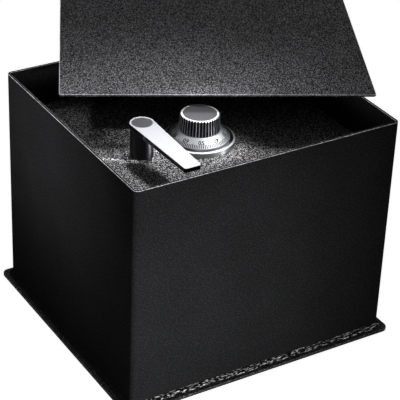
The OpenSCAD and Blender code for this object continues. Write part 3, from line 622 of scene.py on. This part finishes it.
# %% Where the marks lie on the cone
# The cone's outer edge, and a place farther in on its slope.
EDGE_R, SLOPE_R = mm(36.6), mm(25.6)
EDGE_Z, SLOPE_Z = DOOR_TOP + mm(8.4), DOOR_TOP + mm(16.7)
PROUD = mm(0.06)
DIVISIONS = 100
# Where the 50 stands: degrees from the right of the dial, and minus is clockwise.
FIFTY_AT = -116.0
slope = math.atan2(SLOPE_Z - EDGE_Z, EDGE_R - SLOPE_R)
print("the cone rises at %.0f degrees" % math.degrees(slope))


def angle_of(number):
    return math.radians(FIFTY_AT - (number - 50) * 360 / DIVISIONS)


def on_cone(radius, angle, proud):
    height = EDGE_Z + (EDGE_R - radius) * math.tan(slope) + proud
    return Vector((DIAL.x + radius * math.cos(angle), DIAL.y + radius * math.sin(angle), height))


def bend_on_cone(work, middle_radius, angle):
    for vert in work.verts:
        radius = middle_radius + vert.co.y * math.cos(slope)
        turned = angle - vert.co.x / middle_radius
        vert.co = on_cone(radius, turned, PROUD + vert.co.z)


# %% The hundred lines
LINE_OUT, LINE_IN, LONG_LINE_IN, LINE_WIDTH = mm(36.3), mm(32.6), mm(31.6), mm(1.0)
LONG_LINE_EVERY = 5
HALF = 0.5  # a grid of this size is one unit wide, so that a scale gives it its real size


def join_to(marks, work):
    holder = bpy.data.meshes.new("holder")
    work.to_mesh(holder)
    work.free()
    marks.from_mesh(holder)
    bpy.data.meshes.remove(holder)


marks = bmesh.new()
for division in range(DIVISIONS):
    inner = LINE_IN if division % LONG_LINE_EVERY else LONG_LINE_IN
    line = bmesh.new()
    bmesh.ops.create_grid(line, x_segments=1, y_segments=1, size=HALF)
    length = (LINE_OUT - inner) / math.cos(slope)
    bmesh.ops.scale(line, vec=(LINE_WIDTH, length, 1), verts=line.verts)
    bend_on_cone(line, (LINE_OUT + inner) / 2, angle_of(division))
    join_to(marks, line)
print("lines:", len(marks.faces))

# %% The ten numbers
NUMBER_EVERY = 10
NUMBER_R, NUMBER_SIZE, SPACING = mm(30.1), mm(6.9), 1.15
# Fattens the strokes, or they would be too thin to show. At 0.18 mm the outline of the 9 falls
# apart, and at 0.2 mm those of the 6 and the 8.
STROKE_GAIN = mm(0.15)
for value in range(0, DIVISIONS, NUMBER_EVERY):
    letters = bpy.data.curves.new("number", "FONT")
    letters.body = str(value)
    letters.size = NUMBER_SIZE
    letters.align_x, letters.align_y = "CENTER", "CENTER"
    letters.offset = STROKE_GAIN
    letters.space_character = SPACING
    writer = bpy.data.objects.new("number", letters)
    bpy.context.scene.collection.objects.link(writer)
    settled = bpy.context.evaluated_depsgraph_get()
    flat = bpy.data.meshes.new_from_object(writer.evaluated_get(settled))
    number = bmesh.new()
    number.from_mesh(flat)
    bend_on_cone(number, NUMBER_R, angle_of(value))
    join_to(marks, number)
    bpy.data.meshes.remove(flat)
    bpy.data.objects.remove(writer)
print("lines and numbers:", len(marks.faces), "faces")

# %% Turn the marks up and ride them on the dial
bmesh.ops.recalc_face_normals(marks, faces=marks.faces)
if sum(f.normal.z for f in marks.faces) < 0:
    bmesh.ops.reverse_faces(marks, faces=marks.faces)
dial_marks = new_piece("dial_marks", marks, "dial_group", enamel)
print("marks have", len(dial_marks.data.polygons), "faces")


# %% [markdown]
# ## The index mark
#
# A number is read off against a short line on the fixed ring, at the top of the dial. It lies
# on the ring's bevel. Faces of the ring could be painted black, but none is as narrow as the
# line, so it is one small flat plate, tilted by the bevel and lifted a hair.

# %% Index mark on the ring
ring_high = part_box("dial_ring")[1]
BEVEL_WIDE, BEVEL_HIGH = mm(2.4), mm(0.9)
INDEX_LONG, INDEX_WIDE = mm(2.2), mm(0.9)
index_work = bmesh.new()
bmesh.ops.create_grid(index_work, x_segments=1, y_segments=1, size=HALF)
bmesh.ops.scale(index_work, vec=(INDEX_WIDE, INDEX_LONG, 1), verts=index_work.verts)
tilt = Matrix.Rotation(-math.atan2(BEVEL_HIGH, BEVEL_WIDE), 4, "X")
place = Vector((DIAL.x, ring_high[1] - BEVEL_WIDE / 2, ring_high[2] - BEVEL_HIGH / 2 + PROUD))
bmesh.ops.transform(index_work, matrix=Matrix.Translation(place) @ tilt, verts=index_work.verts)
index_mark = new_piece("index_mark", index_work, "door", enamel)
print("index mark %.1f mm long" % (INDEX_LONG * 1000))


# %% [markdown]
# ## The studio
#
# The floor is plain and pale. Strong lamps could make it white, but they would bleach the
# black coat too. So for the camera, and for mirrors, floor and sky glow almost white, while
# their real light on the object stays weak: that keeps the background white, the chrome bright
# and the coat black. The glow is a little below white, and the floor's own matt colour adds
# the rest where light reaches it, so the object's shadow stays on the floor.

# %% Background
WORLD_LIGHT = 0.08


def seen_directly(tree):
    rays = add_node(tree, "LightPath")
    first = add_node(tree, "Math", {"operation": "MAXIMUM"}, _0=rays.outputs["Is Camera Ray"],
                     _1=rays.outputs["Is Glossy Ray"])
    return add_node(tree, "Math", {"operation": "MAXIMUM"}, _0=first.outputs[0],
                    _1=rays.outputs["Is Transmission Ray"]).outputs[0]


world = bpy.data.worlds.new("studio")
bpy.context.scene.world = world
world.use_nodes = True
world.node_tree.nodes.clear()
level = add_node(world.node_tree, "MapRange", Value=seen_directly(world.node_tree),
                 To_Min=WORLD_LIGHT, To_Max=1.0)
sky = add_node(world.node_tree, "Background", Color=(1, 1, 1, 1), Strength=level.outputs["Result"])
add_node(world.node_tree, "OutputWorld", Surface=sky.outputs["Background"])
print("the room lights the safe at %.2f of white" % WORLD_LIGHT)

# %% Floor
FLOOR_GLOW = 0.93
FLOOR_REACH = 6
floor_material, floor_tree = new_material("white_studio_floor")
glow_level = add_node(floor_tree, "Math", {"operation": "MULTIPLY"}, _0=seen_directly(floor_tree),
                      _1=FLOOR_GLOW)
glow = add_node(floor_tree, "Emission", Color=(1, 1, 1, 1), Strength=glow_level.outputs[0])
matt = add_node(floor_tree, "BsdfDiffuse", Color=hex_colour("#f4f4f4"))
both = add_node(floor_tree, "AddShader", _0=glow.outputs[0], _1=matt.outputs[0])
add_node(floor_tree, "OutputMaterial", Surface=both.outputs[0])

floor_work = bmesh.new()
bmesh.ops.create_grid(floor_work, x_segments=1, y_segments=1, size=FLOOR_REACH)
floor_mesh = bpy.data.meshes.new("studio_floor")
floor_work.to_mesh(floor_mesh)
floor_work.free()
floor = bpy.data.objects.new("studio_floor", floor_mesh)
bpy.context.scene.collection.objects.link(floor)
paint(floor, floor_material)
print("the floor reaches %d m to each side" % FLOOR_REACH)


# %% [markdown]
# ## The lamps
#
# One wide lamp could light the whole safe, but it would fill the recess too, which the
# photograph shows black. So each lamp is a square soft box with a grid on it, which narrows
# its beam: spread is the beam's full angle. The key stands behind and high, so that the cover
# throws its shadow on the door and the lever's arm stays white. The lamps for the four walls
# stand at about the height of the rim, so that they light the walls and leave the recess dark.
# Small lamps, each a narrow beam, pick out the dial, the side of its ring, the left of its
# cone, the far corner of the door and the post. They come from where the streaks on the turned
# metal need them, and pass over the rim.

# %% Lamps
LAMPS = [  # name, place, target, size in metres, spread in degrees, power in watts
    # High at the back: the door, the cover and the lever's arm.
    ("key", (0.40, 0.60, 1.58), (-0.12, -0.12, 0.28), 0.26, 16.5, 0.345),
    # High at the right of the front: the cone and the knob.
    ("dial", (0.57, -0.69, 1.34), (-0.02, -0.03, 0.27), 0.04, 5.4, 0.028),
    # Lower, just over the rim: the upright streak on the side of the ring.
    ("ring", (0.83, -0.73, 0.75), (0.008, -0.045, 0.246), 0.02, 3.0, 0.0095),
    # From the left of the front: the left of the cone.
    ("cone", (-0.75, -0.85, 0.85), (-0.03, -0.035, 0.25), 0.02, 2.6, 0.003),
    # Level with the walls: the front and the left wall.
    ("front", (-0.17, -1.3, 0.2), (-0.16, -0.16, 0.12), 0.4, 26, 0.6),
    ("left", (-1.4, 0.3, 0.27), (-0.17, 0.06, 0.26), 0.26, 12.5, 0.15),
    # From the back left: the far left corner of the door.
    ("far_left", (-0.75, 0.55, 1.3), (-0.16, 0.085, 0.26), 0.1, 6, 0.008),
    # As low as the rim allows: the streak on the post, and nothing beside it.
    ("post", (0.83, -0.73, 0.64), (-0.084, -0.022, 0.257), 0.02, 1.2, 0.012),
    # Level with the walls: the right wall and the back wall.
    ("right", (1.4, 0.1, 0.25), (0.17, 0.0, 0.17), 0.4, 20, 0.14),
    ("behind", (0.1, 1.4, 0.25), (0.0, 0.16, 0.17), 0.4, 20, 0.14),
]
for name, place, target, size, spread, power in LAMPS:
    data = bpy.data.lights.new(name, "AREA")
    data.size = size
    data.energy = power
    data.spread = math.radians(spread)
    lamp = bpy.data.objects.new(name, data)
    lamp.location = place
    lamp.rotation_mode = "QUATERNION"
    lamp.rotation_quaternion = (Vector(target) - Vector(place)).to_track_quat("-Z", "Y")
    lamp.visible_camera = False
    bpy.context.scene.collection.objects.link(lamp)
print("lamps:", len(LAMPS))
